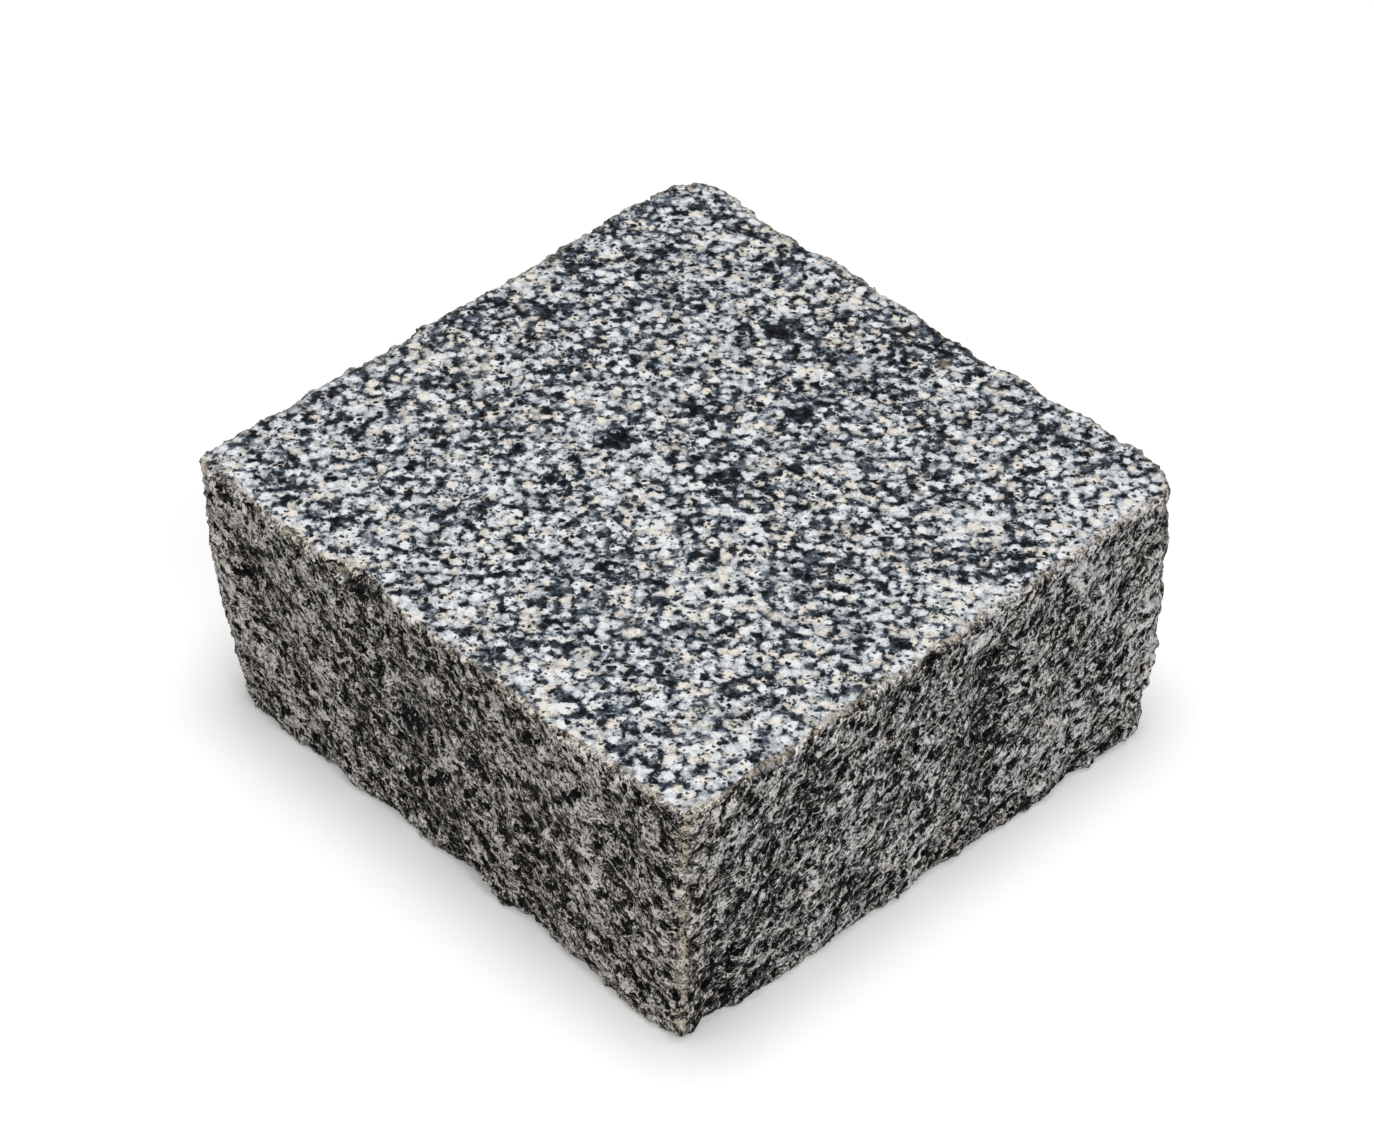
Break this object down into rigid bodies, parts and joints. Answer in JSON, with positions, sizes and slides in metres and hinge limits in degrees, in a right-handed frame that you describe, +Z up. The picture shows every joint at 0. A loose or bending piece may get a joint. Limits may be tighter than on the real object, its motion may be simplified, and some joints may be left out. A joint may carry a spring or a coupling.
{
  "type": "granite sett",
  "caption": "Squared block of grey granite for paving: flat textured top, split wavy sides that lean in to a smaller flat bed.",
  "frame": {"origin": "centre of the block's bounding box at the bed, the face that lies on the ground", "axes": "+Z up out of the flat top face, +X along the slightly longer side, +Y along the other side"},
  "size_m": [0.2051, 0.1987, 0.094],
  "materials": {
    "granite": "grey granite, textured top and rough split sides"
  },
  "bodies": {
    "root": {"granite_sett": "granite"}
  },
  "joints": []
}
